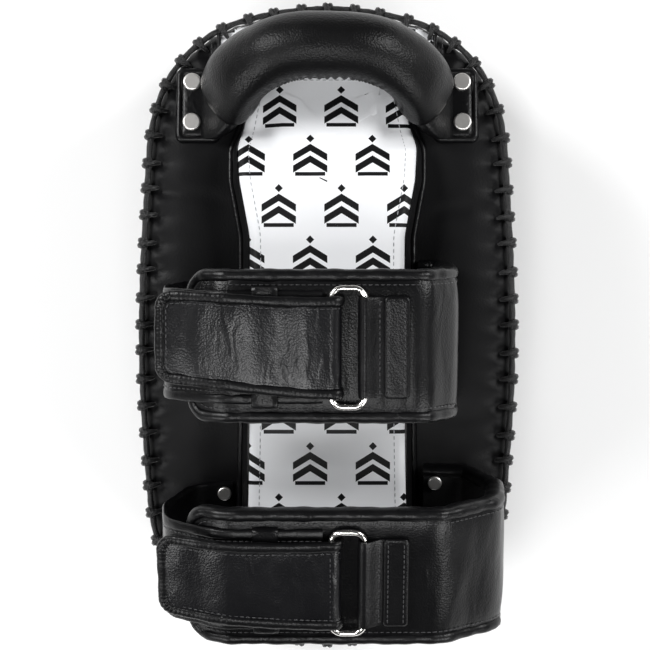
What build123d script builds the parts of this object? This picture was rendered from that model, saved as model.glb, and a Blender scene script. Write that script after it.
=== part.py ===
from build123d import *
from math import asin, atan, cos, degrees, radians, sin, sqrt
import os

os.makedirs("parts", exist_ok=True)

# Thai kick pad lying on its strike face. X is the width, Y the length
# toward the hand grip, Z up toward the arm side. Millimetres.

# --- Driving dimensions: curved padded block ---
back_radius = 600.0
strike_radius = 512.0
bend_z = -478.1
leather = 2.0
foam_gap = 0.3
strike_foam_thick = 36.0
core_foam_thick = 24.0
outline_right = [
    (32.0, 179.6),
    (60.0, 171.0),
    (87.5, 146.0),
    (98.5, 118.0),
    (101.5, 84.0),
    (103.5, 40.0),
    (104.4, -6.0),
    (103.6, -44.0),
    (101.4, -80.0),
    (97.6, -118.0),
    (86.5, -147.0),
    (60.0, -171.0),
    (32.0, -179.6),
]
outline_end = 183.0
center_band_half = 62.0
end_band_upper_y = 122.0
end_band_lower_y = -152.0
seam_gap = 0.4
lace_width = 4.0
lace_below = 2.6
lace_above = 1.4

# --- Arm cushion ---
cushion_height = 28.0
cushion_draft = 9.0
cushion_right = [(29, 138), (31, 113), (53.5, 108), (54, 82), (48.5, 50), (48.5, -160)]
cushion_corner = [12, 4, 8, 30, 30, 22]
cushion_widest_z = 115.0
ramp_top_y = 84.0
ramp_end_height = 12.0
cushion_skin = 1.6
welt_width = 2.4
welt_height = 3.4

# --- Hand grip ---
grip_y = 127.0
roll_lean = 17.0
roll_radius = 19.0
roll_skin = 2.0
grip_core_radius = 4.0
roll_path = [(-53, 12), (-47, 40), (-22, 57), (22, 57), (47, 40), (53, 12)]
roll_bends = [30, 50, 50, 30]
tab_in = 68.5
tab_out = 86.0
tab_length = 43.0
tab_offset = -1.5
tab_thick = 4.0
cap_radius = 5.2
cap_height = 1.8
post_radius = 1.8
rivet_span = 24.0
rivet_x = 77.5

# --- Arm straps ---
cuff_length = 82.0
cuff_thick = 7.5
lining_thick = 1.6
binding_width = 4.5
binding_proud = 0.5
strap_width = 60.0
strap_thick = 2.0
stack_gap = 0.6
clearance = 0.35
ring_wire = 1.6
ring_long = 66.0
ring_short = 21.0
ring_corner = 6.0
ring_x = 11.0
tab_leather = 2.0
tab_width = 54.0
ring_tab_end = 43.0
patch_start = 30.0
patch_leather = 1.2
flap_width = 54.0
flap_thick = 3.2
flap_tip = -92.5
flap_corner = 9.0
flap_edge = 4.0
edge_proud = 0.2
loop_thick = 2.0
hook_thick = 1.5
keeper_x = -33.0
keeper_width = 14.0
keeper_thick = 1.0
base_rivet_radius = 4.0
base_rivet_cap = 1.6

# cross sections of each strap loop, x against height over the back:
# the cuff from its right base to its tongue, then the strap from the
# ring to its left base, each at the hand end and the elbow end
straps = {
    "upper": {
        "y": -4.0,
        "lean": 4.2,
        "cuff_hand": [(52, -0.8), (69, 1), (71, 40), (69, 74), (52, 95), (-55, 95), (-76, 80)],
        "cuff_elbow": [(52, -0.8), (69, 1), (71, 40), (69, 74), (52, 95), (-55, 95), (-76, 80)],
        "cuff_bends": [13, 70, 18, 16, 24],
        "strap_hand": [(-2.5, 97.6), (-58, 97.6), (-88, 74), (-89, 44), (-74, 3), (-50.5, -0.8)],
        "strap_elbow": [(-2.5, 97.6), (-58, 97.6), (-88, 74), (-89, 44), (-74, 3), (-50.5, -0.8)],
        "strap_bends": [26, 20, 40, 20],
        "rivets": [("right", 54.6, 28.0, 9.5), ("left", -57.5, 22.0, 3.3)],
    },
    "lower": {
        "y": -119.0,
        "lean": 0.0,
        "cuff_hand": [(55, -0.8), (82, 2), (98, 36), (95, 70), (62, 97), (-56, 97), (-77, 82)],
        "cuff_elbow": [(55, -0.8), (82, 2), (98, 30), (95, 52), (62, 77), (-56, 77), (-77, 62)],
        "cuff_bends": [16, 26, 16, 20, 24],
        "strap_hand": [(-2.5, 99.6), (-59, 99.6), (-89, 76), (-91, 44), (-78, 4), (-53.5, -0.8)],
        "strap_elbow": [(-2.5, 79.6), (-59, 79.6), (-89, 56), (-91, 34), (-78, 4), (-53.5, -0.8)],
        "strap_bends": [26, 20, 36, 20],
        "rivets": [("right", 61.0, 32.0, 9.7), ("left", -58.5, 24.0, 3.4)],
    },
}


def back_z(y, height=0.0):
    """Height of the back at a place along the length, raised by height."""
    return bend_z + sqrt((back_radius + height) ** 2 - y * y)


def block_layer(inset, r_in, r_out, x_from=-200.0, x_to=200.0, y_from=-250.0, y_to=250.0):
    """A curved slab of the block outline between two radii of the bend."""
    scale = 1 - inset / outline_end
    half = [(0, outline_end - inset)]
    half += [(x - inset, y * scale) for x, y in outline_right]
    half += [(0, inset - outline_end)]
    with BuildPart() as layer:
        with BuildSketch(Plane.XY.offset(-10)):
            with BuildLine():
                Spline(*half, tangents=[(1, 0), (-1, 0)])
                mirror(about=Plane.YZ)
            make_face()
        extrude(amount=220)
        with Locations((0, 0, bend_z)):
            Cylinder(r_out, 500, rotation=(0, 90, 0), mode=Mode.INTERSECT)
            Cylinder(r_in, 500, rotation=(0, 90, 0), mode=Mode.SUBTRACT)
        with Locations(((x_from + x_to) / 2, (y_from + y_to) / 2, 100)):
            Box(x_to - x_from, y_to - y_from, 400, mode=Mode.INTERSECT)
    return layer.part


def save(part, name):
    part.label = name
    export_step(part, f"parts/{name}.step")


# --- Block: three foam layers in a leather cover, five back panels ---
wall = leather + foam_gap
r_strike_foam = strike_radius + wall
r_core_foam = r_strike_foam + strike_foam_thick
r_backing_foam = r_core_foam + core_foam_thick
r_panel = back_radius - leather

with BuildPart() as strike_foam:
    add(block_layer(wall, r_strike_foam, r_core_foam - foam_gap))
save(strike_foam.part, "strike_foam")

with BuildPart() as core_foam:
    add(block_layer(wall, r_core_foam, r_backing_foam - foam_gap))
save(core_foam.part, "core_foam")

with BuildPart() as backing_foam:
    add(block_layer(wall, r_backing_foam, r_panel - foam_gap))
save(backing_foam.part, "backing_foam")

with BuildPart() as strike_cover:
    add(block_layer(0, strike_radius, r_panel))
    add(block_layer(leather, strike_radius + leather, r_panel + 9), mode=Mode.SUBTRACT)
save(strike_cover.part, "strike_cover")

with BuildPart() as back_panel_left:
    add(block_layer(0, r_panel, back_radius, x_to=-center_band_half))
save(back_panel_left.part, "back_panel_left")

with BuildPart() as back_panel_right:
    add(block_layer(0, r_panel, back_radius, x_from=center_band_half))
save(back_panel_right.part, "back_panel_right")

band_half = center_band_half - seam_gap
bands = {
    "center": (end_band_lower_y, end_band_upper_y),
    "end_upper": (end_band_upper_y + seam_gap, 250.0),
    "end_lower": (-250.0, end_band_lower_y - seam_gap),
}
for band_name, (band_from, band_to) in bands.items():
    with BuildPart() as back_band:
        add(block_layer(0, r_panel, back_radius, -band_half, band_half, band_from, band_to))
    save(back_band.part, f"back_panel_{band_name}")

# the laced cord follows the whole rim outside the seam
with BuildPart() as edge_lacing:
    add(block_layer(-lace_width, back_radius - lace_below, back_radius + lace_above))
    add(block_layer(0, back_radius - 20, back_radius + 20), mode=Mode.SUBTRACT)
save(edge_lacing.part, "edge_lacing")

# --- Arm cushion: foam in a gusset wall with a printed top ---
def cushion_body(inset, drop):
    """The drafted cushion block, moved in from the walls and down from the top."""
    right = [(x - inset, y) for x, y in cushion_right]
    right[0] = (right[0][0], cushion_right[0][1] - inset)
    right[-1] = (right[-1][0], cushion_right[-1][1] + inset)
    bends = cushion_corner + cushion_corner[::-1]
    r_top = back_radius + cushion_height - drop
    y_low = cushion_right[-1][1] - 20
    y_end = cushion_right[0][1] + 6
    z_end = back_z(y_end) + ramp_end_height - drop
    with BuildPart() as body:
        for z in (60.0, 180.0):
            grow = (cushion_widest_z - z) * sin(radians(cushion_draft))
            shape = [(x + grow, y) for x, y in right]
            shape += [(-x, y) for x, y in shape[::-1]]
            with BuildSketch(Plane.XY.offset(z)):
                with BuildLine():
                    FilletPolyline(*shape, radius=bends, close=True)
                make_face()
        loft(ruled=True)
        with BuildSketch(Plane.YZ):
            with BuildLine():
                top = Line((y_low, back_z(y_low, r_top - back_radius)), (y_low, 20))
                base = Line(top @ 1, (y_end, 20))
                end = Line(base @ 1, (y_end, z_end))
                ramp = Line(end @ 1, (ramp_top_y, back_z(ramp_top_y, r_top - back_radius)))
                RadiusArc(top @ 0, ramp @ 1, r_top)
            make_face()
        extrude(amount=120, both=True, mode=Mode.INTERSECT)
        with Locations((0, 0, bend_z)):
            Cylinder(back_radius, 500, rotation=(0, 90, 0), mode=Mode.SUBTRACT)
    return body.part


with BuildPart() as arm_cushion_foam:
    add(cushion_body(cushion_skin, cushion_skin))
save(arm_cushion_foam.part, "arm_cushion_foam")

with BuildPart() as arm_cushion_gusset:
    add(cushion_body(0, cushion_skin))
    add(cushion_body(cushion_skin, -20), mode=Mode.SUBTRACT)
save(arm_cushion_gusset.part, "arm_cushion_gusset")

with BuildPart() as arm_cushion_top:
    add(cushion_body(0, 0))
    add(cushion_body(-20, cushion_skin), mode=Mode.SUBTRACT)
save(arm_cushion_top.part, "arm_cushion_top")

with BuildPart() as arm_cushion_welt:
    add(cushion_body(-welt_width, 0))
    add(cushion_body(0, -20), mode=Mode.SUBTRACT)
    with Locations((0, 0, bend_z)):
        Cylinder(back_radius + welt_height, 500, rotation=(0, 90, 0), mode=Mode.INTERSECT)
save(arm_cushion_welt.part, "arm_cushion_welt")


# --- Hand grip: padded roll on two riveted tabs ---
def cross_plane(y, z, tilt):
    """Plane across the pad: x across, y outward at a tilt from Z, in degrees."""
    angle = radians(tilt)
    return Plane(origin=(0, y, z), x_dir=(1, 0, 0), z_dir=(0, -cos(angle), sin(angle)))


def out_plane(cross, height):
    """Plane facing outward, a height along the y direction of a cross plane."""
    return Plane(origin=cross.origin + cross.y_dir * height, x_dir=(1, 0, 0), z_dir=cross.y_dir)


grip_tilt = degrees(asin(grip_y / back_radius))
grip_plane = cross_plane(grip_y, back_z(grip_y), grip_tilt)
arch_plane = cross_plane(grip_y, back_z(grip_y), grip_tilt + roll_lean)


def roll(radius):
    """A round bar along the arched centre line of the grip."""
    with BuildPart() as bar:
        with BuildLine(arch_plane) as path:
            FilletPolyline(*roll_path, radius=roll_bends)
        with BuildSketch(Plane(origin=path.line @ 0, z_dir=path.line % 0)):
            Circle(radius)
        sweep(path=path.line)
    return bar.part


with BuildPart() as grip_core:
    add(roll(grip_core_radius))
save(grip_core.part, "grip_core")

with BuildPart() as grip_foam:
    add(roll(roll_radius - roll_skin))
    add(roll(grip_core_radius), mode=Mode.SUBTRACT)
save(grip_foam.part, "grip_foam")

with BuildPart() as grip_cover:
    add(roll(roll_radius))
    add(roll(roll_radius - roll_skin), mode=Mode.SUBTRACT)
save(grip_cover.part, "grip_cover")

for side, side_name in ((-1, "left"), (1, "right")):
    holes = [(side * rivet_x, rivet_span / 2), (side * rivet_x, -rivet_span / 2)]
    with BuildPart() as handle_tab:
        with BuildSketch(out_plane(grip_plane, -6)):
            with Locations((side * (tab_in + tab_out) / 2, tab_offset)):
                RectangleRounded(tab_out - tab_in, tab_length, 3)
        extrude(amount=6 + tab_thick)
        with Locations((0, 0, bend_z)):
            Cylinder(back_radius, 500, rotation=(0, 90, 0), mode=Mode.SUBTRACT)
        with BuildSketch(out_plane(grip_plane, -6)):
            with Locations(*holes):
                Circle(post_radius)
        extrude(amount=20, mode=Mode.SUBTRACT)
    save(handle_tab.part, f"handle_tab_{side_name}")
    for hole, end_name in zip(holes, ("upper", "lower")):
        with BuildPart() as handle_rivet:
            with BuildSketch(out_plane(grip_plane, tab_thick)):
                with Locations(hole):
                    Circle(cap_radius)
            extrude(amount=cap_height)
            cap_face = handle_rivet.faces().filter_by(GeomType.PLANE).sort_by(Axis.Z)[-1]
            fillet(cap_face.edges(), radius=cap_height * 0.6)
            with BuildSketch(out_plane(grip_plane, -6)):
                with Locations(hole):
                    Circle(post_radius)
            extrude(amount=6 + tab_thick)
            with Locations((0, 0, bend_z)):
                Cylinder(back_radius, 500, rotation=(0, 90, 0), mode=Mode.SUBTRACT)
        save(handle_rivet.part, f"handle_rivet_{side_name}_{end_name}")


# --- Arm straps: cuff from the right, strap from the left, ring and flap ---
def moved_out(points, distance):
    """An open counterclockwise polyline moved outward with mitred corners."""
    normals = []
    for (x0, y0), (x1, y1) in zip(points, points[1:]):
        size = sqrt((x1 - x0) ** 2 + (y1 - y0) ** 2)
        normals.append(((y1 - y0) / size, (x0 - x1) / size))
    ends = [normals[0]] + normals + [normals[-1]]
    moved = []
    for (x, y), (ax, ay), (bx, by) in zip(points, ends, ends[1:]):
        scale = distance / (1 + ax * bx + ay * by)
        moved.append((x + (ax + bx) * scale, y + (ay + by) * scale))
    return moved


def ribbon(plane, hand, elbow, bends, along, depth):
    """A band between two offsets of a loop's profile, over a span of its width."""
    half = cuff_length / 2
    outer, inner = depth
    with BuildPart() as band:
        for place in along:
            blend = (half - place) / cuff_length
            shape = [
                (x0 + (x1 - x0) * blend, y0 + (y1 - y0) * blend)
                for (x0, y0), (x1, y1) in zip(hand, elbow)
            ]
            with BuildSketch(plane.offset(-place)):
                with BuildLine():
                    out = FilletPolyline(
                        *moved_out(shape, outer), radius=[r + outer for r in bends]
                    )
                    back = FilletPolyline(
                        *moved_out(shape, inner), radius=[r + inner for r in bends]
                    )
                    Line(out @ 0, back @ 0)
                    Line(out @ 1, back @ 1)
                make_face()
        loft(ruled=True)
        with Locations((0, 0, bend_z)):
            Cylinder(back_radius, 500, rotation=(0, 90, 0), mode=Mode.SUBTRACT)
    return band.part


def trimmed(points, length):
    """The polyline with its last run shortened."""
    (x0, y0), (x1, y1) = points[-2:]
    part_left = 1 - length / sqrt((x1 - x0) ** 2 + (y1 - y0) ** 2)
    return points[:-1] + [(x0 + (x1 - x0) * part_left, y0 + (y1 - y0) * part_left)]


def rivet_holes(plane, rivets, radius):
    """Posts of the base rivets, as tools to cut their holes."""
    with BuildPart() as posts:
        with BuildSketch(out_plane(plane, -10)):
            for _, x, along, _ in rivets:
                with Locations((x, along)):
                    Circle(radius)
        extrude(amount=40)
    return posts.part


for strap_name, strap in straps.items():
    tilt = degrees(asin(strap["y"] / back_radius)) - strap["lean"]
    base = cross_plane(strap["y"], back_z(strap["y"]), tilt)
    cuff_half = cuff_length / 2
    front_hand = strap["cuff_hand"][4][1]
    front_elbow = strap["cuff_elbow"][4][1]
    front_mid = base.origin + base.y_dir * (front_hand + front_elbow) / 2
    front_tilt = tilt - degrees(atan((front_hand - front_elbow) / cuff_length))
    front = cross_plane(front_mid.Y, front_mid.Z, front_tilt)

    cuff = (strap["cuff_hand"], strap["cuff_elbow"], strap["cuff_bends"])
    short = (*[trimmed(points, binding_width) for points in cuff[:2]], cuff[2])
    holes = rivet_holes(base, strap["rivets"], post_radius + 0.1)
    inner_half = cuff_half - binding_width
    edges = (cuff_half, -cuff_half)
    inner_edges = (inner_half, -inner_half)

    with BuildPart() as cuff_panel:
        add(ribbon(base, *short, inner_edges, (0, -cuff_thick)))
        add(holes, mode=Mode.SUBTRACT)
    save(cuff_panel.part, f"cuff_{strap_name}")

    with BuildPart() as cuff_lining:
        lining = (-cuff_thick, -cuff_thick - lining_thick)
        add(ribbon(base, *short, inner_edges, lining))
        add(holes, mode=Mode.SUBTRACT)
    save(cuff_lining.part, f"cuff_lining_{strap_name}")

    with BuildPart() as cuff_binding:
        bound = (binding_proud, -cuff_thick - lining_thick - binding_proud)
        add(ribbon(base, *cuff, edges, bound))
        add(ribbon(base, *short, inner_edges, (2, -11.5)), mode=Mode.SUBTRACT)
    save(cuff_binding.part, f"cuff_binding_{strap_name}")

    with BuildPart() as strap_band:
        add(
            ribbon(
                base,
                strap["strap_hand"],
                strap["strap_elbow"],
                strap["strap_bends"],
                (strap_width / 2, -strap_width / 2),
                (0, -strap_thick),
            )
        )
        add(holes, mode=Mode.SUBTRACT)
    save(strap_band.part, f"strap_{strap_name}")

    for rivet_side, rivet_at, rivet_along, rivet_seat in strap["rivets"]:
        with BuildPart() as base_rivet:
            with BuildSketch(out_plane(base, rivet_seat)):
                with Locations((rivet_at, rivet_along)):
                    Circle(base_rivet_radius)
            extrude(amount=base_rivet_cap)
            cap_face = base_rivet.faces().filter_by(GeomType.PLANE).sort_by(Axis.Z)[-1]
            fillet(cap_face.edges(), radius=base_rivet_cap * 0.6)
            with BuildSketch(out_plane(base, -6)):
                with Locations((rivet_at, rivet_along)):
                    Circle(post_radius)
            extrude(amount=6 + rivet_seat)
            with Locations((0, 0, bend_z)):
                Cylinder(back_radius, 500, rotation=(0, 90, 0), mode=Mode.SUBTRACT)
        save(base_rivet.part, f"rivet_{strap_name}_{rivet_side}")

    # ring of bent wire, lying just over the strap
    ring_height = stack_gap + strap_thick + clearance + ring_wire
    bar_reach = ring_short / 2 - ring_wire
    with BuildPart() as ring:
        half_short = ring_short / 2 - ring_wire
        half_long = ring_long / 2 - ring_wire
        with BuildLine(out_plane(front, ring_height)) as ring_path:
            FilletPolyline(
                (ring_x - half_short, -half_long),
                (ring_x + half_short, -half_long),
                (ring_x + half_short, half_long),
                (ring_x - half_short, half_long),
                radius=ring_corner,
                close=True,
            )
        with BuildSketch(Plane(origin=ring_path.line @ 0, z_dir=ring_path.line % 0)):
            Circle(ring_wire)
        sweep(path=ring_path.line)
    save(ring.part, f"ring_{strap_name}")

    # leather tab around the right bar of the ring, sewn to the cuff
    wrap_inner = ring_wire + clearance
    wrap_outer = wrap_inner + tab_leather
    with BuildPart() as ring_tab:
        with BuildSketch(front.offset(-tab_width / 2)):
            with Locations((ring_x + bar_reach, ring_height)):
                Circle(wrap_outer)
            with Locations((ring_x + bar_reach + 4, tab_leather)):
                Rectangle(8, 2 * tab_leather)
            make_hull()
            with Locations(((ring_x + bar_reach + ring_tab_end) / 2, tab_leather)):
                Rectangle(ring_tab_end - ring_x - bar_reach, 2 * tab_leather)
            with Locations((ring_x + bar_reach, ring_height)):
                Circle(wrap_inner, mode=Mode.SUBTRACT)
        extrude(amount=tab_width)
    save(ring_tab.part, f"ring_tab_{strap_name}")

    with BuildPart() as ring_patch:
        with BuildSketch(out_plane(front, 2 * tab_leather)):
            with Locations(((patch_start + ring_tab_end) / 2, 0)):
                Rectangle(ring_tab_end - patch_start, tab_width)
        extrude(amount=patch_leather)
    save(ring_patch.part, f"ring_patch_{strap_name}")

    with BuildPart() as keeper:
        with BuildSketch(out_plane(front, 0)):
            with Locations((keeper_x, 0)):
                Rectangle(keeper_width, strap_width + 3 + 2 * keeper_thick)
        extrude(amount=stack_gap + strap_thick + 0.8 + keeper_thick)
        with BuildSketch(out_plane(front, 0)):
            with Locations((keeper_x, 0)):
                Rectangle(keeper_width, strap_width + 3)
        extrude(amount=stack_gap + strap_thick + 0.8, mode=Mode.SUBTRACT)
    save(keeper.part, f"keeper_{strap_name}")

    # loop patch on the strap, hook patch under the flap
    with BuildPart() as loop_patch:
        with BuildSketch(out_plane(front, stack_gap + strap_thick)):
            with Locations((keeper_x / 2 + 2.5, 0)):
                Rectangle(20, flap_width - 14)
        extrude(amount=loop_thick)
    save(loop_patch.part, f"loop_patch_{strap_name}")

    flap_low = ring_height + wrap_inner
    with BuildPart() as hook_patch:
        with BuildSketch(out_plane(front, flap_low - hook_thick)):
            with Locations((-40, 0)):
                Rectangle(66, flap_width - 14)
        extrude(amount=hook_thick)
    save(hook_patch.part, f"hook_patch_{strap_name}")

    # flap folded back around the left bar of the ring
    bar_x = ring_x - bar_reach
    flap_length = bar_x - flap_tip
    with BuildPart() as flap:
        with BuildSketch(front.offset(-flap_width / 2 + flap_edge)):
            with Locations((bar_x, ring_height)):
                Circle(wrap_outer)
                Circle(wrap_inner, mode=Mode.SUBTRACT)
            with Locations((bar_x - 10.35, ring_height)):
                Rectangle(20, 20, mode=Mode.SUBTRACT)
            with BuildLine():
                leg = Polyline(
                    (bar_x + 0.5, flap_low),
                    (flap_tip + flap_edge, flap_low),
                    (flap_tip + flap_edge, flap_low + flap_thick),
                    (bar_x - 6, flap_low + flap_thick),
                    (bar_x + 0.5, flap_low + tab_leather),
                    close=True,
                )
            make_face()
        extrude(amount=flap_width - 2 * flap_edge)
    save(flap.part, f"flap_{strap_name}")

    with BuildPart() as flap_binding_part:
        with BuildSketch(out_plane(front, flap_low - edge_proud)):
            with Locations((bar_x - flap_length / 2 - 2, 0)):
                RectangleRounded(flap_length - 4, flap_width, flap_corner)
            with Locations((bar_x - flap_length / 2 + flap_edge / 2, 0)):
                Rectangle(
                    flap_length - flap_edge, flap_width - 2 * flap_edge, mode=Mode.SUBTRACT
                )
        extrude(amount=flap_thick + 2 * edge_proud)
    save(flap_binding_part.part, f"flap_binding_{strap_name}")
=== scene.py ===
import math
from functools import partial, reduce

import bpy
import numpy as np
from mathutils import Matrix, Vector, noise


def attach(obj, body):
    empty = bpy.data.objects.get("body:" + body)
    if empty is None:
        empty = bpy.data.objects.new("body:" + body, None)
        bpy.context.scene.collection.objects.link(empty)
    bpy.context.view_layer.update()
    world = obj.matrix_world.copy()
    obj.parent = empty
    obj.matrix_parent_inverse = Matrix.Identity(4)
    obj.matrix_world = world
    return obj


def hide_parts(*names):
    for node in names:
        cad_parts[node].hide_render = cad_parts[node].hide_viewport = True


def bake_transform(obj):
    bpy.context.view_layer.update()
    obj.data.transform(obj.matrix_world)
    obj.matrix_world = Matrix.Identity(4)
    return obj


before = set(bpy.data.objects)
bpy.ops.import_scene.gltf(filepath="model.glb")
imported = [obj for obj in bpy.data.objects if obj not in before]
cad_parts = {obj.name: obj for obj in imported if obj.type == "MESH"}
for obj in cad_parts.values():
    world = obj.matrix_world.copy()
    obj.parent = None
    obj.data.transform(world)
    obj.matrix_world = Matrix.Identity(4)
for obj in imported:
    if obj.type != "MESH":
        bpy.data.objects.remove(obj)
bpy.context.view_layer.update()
mm = 0.001
rightward = np.array([1.0, 0, 0])

# the bend of the whole pad: both faces curve about one line along X
bend = {"back": 0.600, "strike": 0.512, "centreZ": -0.4781}


# shaping helpers

def deselectAll():
    if bpy.context.object and bpy.context.object.mode != "OBJECT":
        bpy.ops.object.mode_set(mode="OBJECT")
    bpy.ops.object.select_all(action="DESELECT")


def pick(*pieces):
    # these pieces alone are selected, and the first is active
    deselectAll()
    for piece in pieces:
        piece.select_set(True)
    bpy.context.view_layer.objects.active = pieces[0]


def unit(vectors):
    return vectors / np.linalg.norm(vectors, axis=-1, keepdims=True)


def walked(path):
    # distance walked along a path at each of its points
    return np.concatenate([[0], np.cumsum(np.linalg.norm(np.diff(path, axis=0), axis=1))])


def aroundOnce(count):
    return np.linspace(0, 2 * math.pi, count, endpoint=False)


def loftLoops(name, loops, closeEnds=True, smooth=60):
    # a grid is laid out and its rows become the loops, then its seam is merged
    loops = np.asarray(loops, float)
    rows, around = loops.shape[0], loops.shape[1]
    deselectAll()
    bpy.ops.mesh.primitive_grid_add(x_subdivisions=around, y_subdivisions=rows - 1, size=2)
    piece = bpy.context.object
    piece.name = name
    piece.data.name = name
    full = np.concatenate([loops, loops[:, :1]], axis=1)
    piece.data.vertices.foreach_set("co", full.reshape(-1))
    girth = np.linalg.norm(np.diff(full, axis=1), axis=2).sum(axis=1).mean()
    length = np.linalg.norm(np.diff(loops, axis=0), axis=2).mean(axis=1).sum()
    layer = piece.data.uv_layers[0]
    uv = np.empty(len(layer.data) * 2)
    layer.data.foreach_get("uv", uv)
    uv = uv.reshape(-1, 2) * [girth, length]
    layer.data.foreach_set("uv", uv.reshape(-1))
    bpy.ops.object.mode_set(mode="EDIT")
    bpy.ops.mesh.select_all(action="SELECT")
    bpy.ops.mesh.remove_doubles(threshold=0.00001)
    if closeEnds:
        bpy.ops.mesh.select_all(action="DESELECT")
        bpy.ops.mesh.select_non_manifold()
        bpy.ops.mesh.edge_face_add()
    bpy.ops.mesh.select_all(action="SELECT")
    bpy.ops.mesh.normals_make_consistent(inside=False)
    bpy.ops.object.mode_set(mode="OBJECT")
    bpy.ops.object.shade_smooth_by_angle(angle=math.radians(smooth))
    return piece


def dress(piece, material, body="pad", stands=()):
    piece.data.materials.clear()
    piece.data.materials.append(material)
    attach(piece, body)
    if stands:
        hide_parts(*stands)
    return piece


def joinPieces(name, parts):
    pick(*parts)
    bpy.ops.object.join()
    parts[0].name = name
    parts[0].data.name = name
    return parts[0]


def smoothStep(value, low, high):
    t = np.clip((np.asarray(value, float) - low) / (high - low), 0, 1)
    return t * t * (3 - 2 * t)


def roundedPath(points, bends, count, closed=False):
    # straight runs joined by tangent arcs, walked in even steps
    pts = [np.array(p, float) for p in points]
    n = len(pts)
    walk = []
    corners = range(n) if closed else range(1, n - 1)
    arcs = {}
    for k, corner in enumerate(corners):
        before, here, after = pts[corner - 1], pts[corner], pts[(corner + 1) % n]
        a, b = unit(before - here), unit(after - here)
        half = math.acos(np.clip(a @ b, -1, 1)) / 2
        reach = bends[k] / math.tan(half)
        centre = here + unit(a + b) * bends[k] / math.sin(half)
        start, end = here + a * reach - centre, here + b * reach - centre
        turn = math.pi - 2 * half
        arcs[corner] = [
            centre + (start * math.sin((1 - t) * turn) + end * math.sin(t * turn)) / math.sin(turn)
            for t in np.linspace(0, 1, 13)
        ]
    for corner in range(n):
        walk += arcs.get(corner, [pts[corner]])
    if closed:
        walk.append(walk[0])
    walk = np.array(walk)
    steps = walked(walk)
    at = np.linspace(0, steps[-1], count, endpoint=not closed)
    return np.stack([np.interp(at, steps, walk[:, i]) for i in range(walk.shape[1])], axis=1)


def grainNoise(points, scale, seed=0.0):
    return np.array(
        [noise.noise(Vector(p) * scale + Vector((seed, seed * 0.7, seed * 1.3))) for p in points]
    )


def tube(name, path, radius, around=10, closed=False, smooth=80):
    # a round bar along a path of points; radius may change along it
    path = np.asarray(path, float)
    radii = np.broadcast_to(radius, len(path))
    if closed:
        ahead = unit(np.roll(path, -1, axis=0) - np.roll(path, 1, axis=0))
    else:
        ahead = unit(np.gradient(path, axis=0))
    side = np.cross(ahead[0], [0, 0, 1.0])
    if np.linalg.norm(side) < 0.2:
        side = np.cross(ahead[0], rightward)
    angle = aroundOnce(around)[:, None]
    loops = []
    for k in range(len(path)):
        side = unit(side - ahead[k] * (side @ ahead[k]))
        up = np.cross(side, ahead[k])
        loops.append(path[k] + radii[k] * (np.cos(angle) * side + np.sin(angle) * up))
    if closed:
        loops.append(loops[0])
    return loftLoops(name, loops, closeEnds=not closed, smooth=smooth)


def stitchRow(name, path, out, pitch=3.4 * mm, length=2.5 * mm, thick=0.34 * mm):
    # short thread ends lying along a path, each a flat six-sided bead
    path, out = np.asarray(path, float), np.asarray(out, float)
    steps = walked(path)
    centres = np.arange(pitch / 2, steps[-1], pitch)
    verts, faces = [], []
    for c in centres:
        ends = (c - length / 2, c + length / 2)
        a, b = [np.array([np.interp(s, steps, path[:, i]) for i in range(3)]) for s in ends]
        normal = unit(np.array([np.interp(c, steps, out[:, i]) for i in range(3)]))
        run = unit(b - a)
        side = np.cross(run, normal)
        base = len(verts)
        for t, girth in ((0, 0.35), (0.25, 1), (0.75, 1), (1, 0.35)):
            p = a + (b - a) * t
            for su, nu in ((-1, -0.2), (-0.5, 0.9), (0.5, 0.9), (1, -0.2)):
                verts.append(p + side * su * thick * girth + normal * nu * thick * girth)
        for r in range(3):
            for q in range(4):
                i, j = base + r * 4 + q, base + r * 4 + (q + 1) % 4
                faces.append((i, j, j + 4, i + 4))
        faces.append((base, base + 1, base + 2, base + 3))
        faces.append((base + 15, base + 14, base + 13, base + 12))
    mesh = bpy.data.meshes.new(name)
    mesh.from_pydata([tuple(v) for v in verts], [], faces)
    piece = bpy.data.objects.new(name, mesh)
    bpy.context.collection.objects.link(piece)
    pick(piece)
    bpy.ops.object.mode_set(mode="EDIT")
    bpy.ops.mesh.select_all(action="SELECT")
    bpy.ops.mesh.normals_make_consistent(inside=False)
    bpy.ops.object.mode_set(mode="OBJECT")
    bpy.ops.object.shade_smooth_by_angle(angle=math.radians(70))
    return piece


# finishes

def newGroup(name, inputs, outputs):
    # number inputs get a number as their start value, vectors get a triple or nothing
    group = bpy.data.node_groups.new(name, "ShaderNodeTree")
    for label, value in inputs.items():
        kind = "NodeSocketFloat" if isinstance(value, float) else "NodeSocketVector"
        socket = group.interface.new_socket(label, in_out="INPUT", socket_type=kind)
        if value is not None:
            socket.default_value = value
    for label in outputs:
        group.interface.new_socket(label, in_out="OUTPUT", socket_type="NodeSocketFloat")
    return group, group.nodes.new("NodeGroupInput").outputs, group.nodes.new("NodeGroupOutput").inputs


def addNode(tree, kind, sockets=None, **settings):
    node = tree.nodes.new("ShaderNode" + kind)
    for key, value in settings.items():
        setattr(node, key, value)
    for key, value in (sockets or {}).items():
        if isinstance(value, bpy.types.NodeSocket):
            tree.links.new(value, node.inputs[key])
        else:
            node.inputs[key].default_value = value
    return node


def calc(tree, operation, a, b=0.0, c=None):
    sockets = {0: a, 1: b}
    if c is not None:
        sockets[2] = c
    return addNode(tree, "Math", sockets, operation=operation).outputs[0]


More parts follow.
